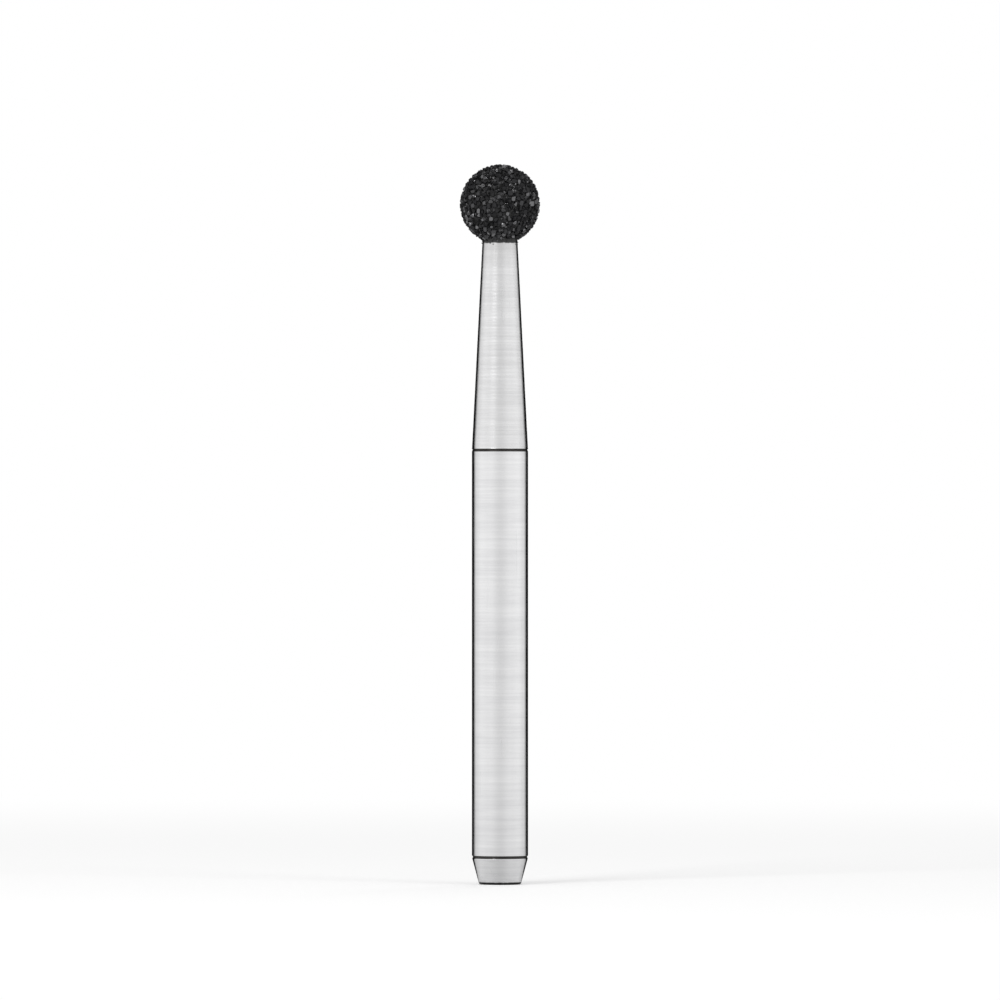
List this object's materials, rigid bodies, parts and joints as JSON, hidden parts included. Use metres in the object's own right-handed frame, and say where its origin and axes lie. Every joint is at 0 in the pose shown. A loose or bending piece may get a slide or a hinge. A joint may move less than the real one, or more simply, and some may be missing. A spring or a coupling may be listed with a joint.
{
  "type": "round dental diamond bur",
  "caption": "Rotary grinding tool: a ball head coated in diamond grit, on a conical neck and a ground cylindrical friction grip shank with a tapered lead-in, for a dental handpiece.",
  "frame": {"origin": "centre of the flat end face at the shank's free end", "axes": "+Z along the axis of rotation, from the shank's free end towards the ball head; the part is a body of revolution, so X and Y are free"},
  "size_m": [0.0022, 0.0022, 0.0205],
  "materials": {
    "ground_steel": "stainless steel, ground bright on the shank and fine turned on the neck",
    "diamond_grit": "dark diamond grit standing out of matt electroplated nickel"
  },
  "bodies": {
    "root": {"steel_blank": "ground_steel", "diamond_coat": "diamond_grit"}
  },
  "joints": []
}
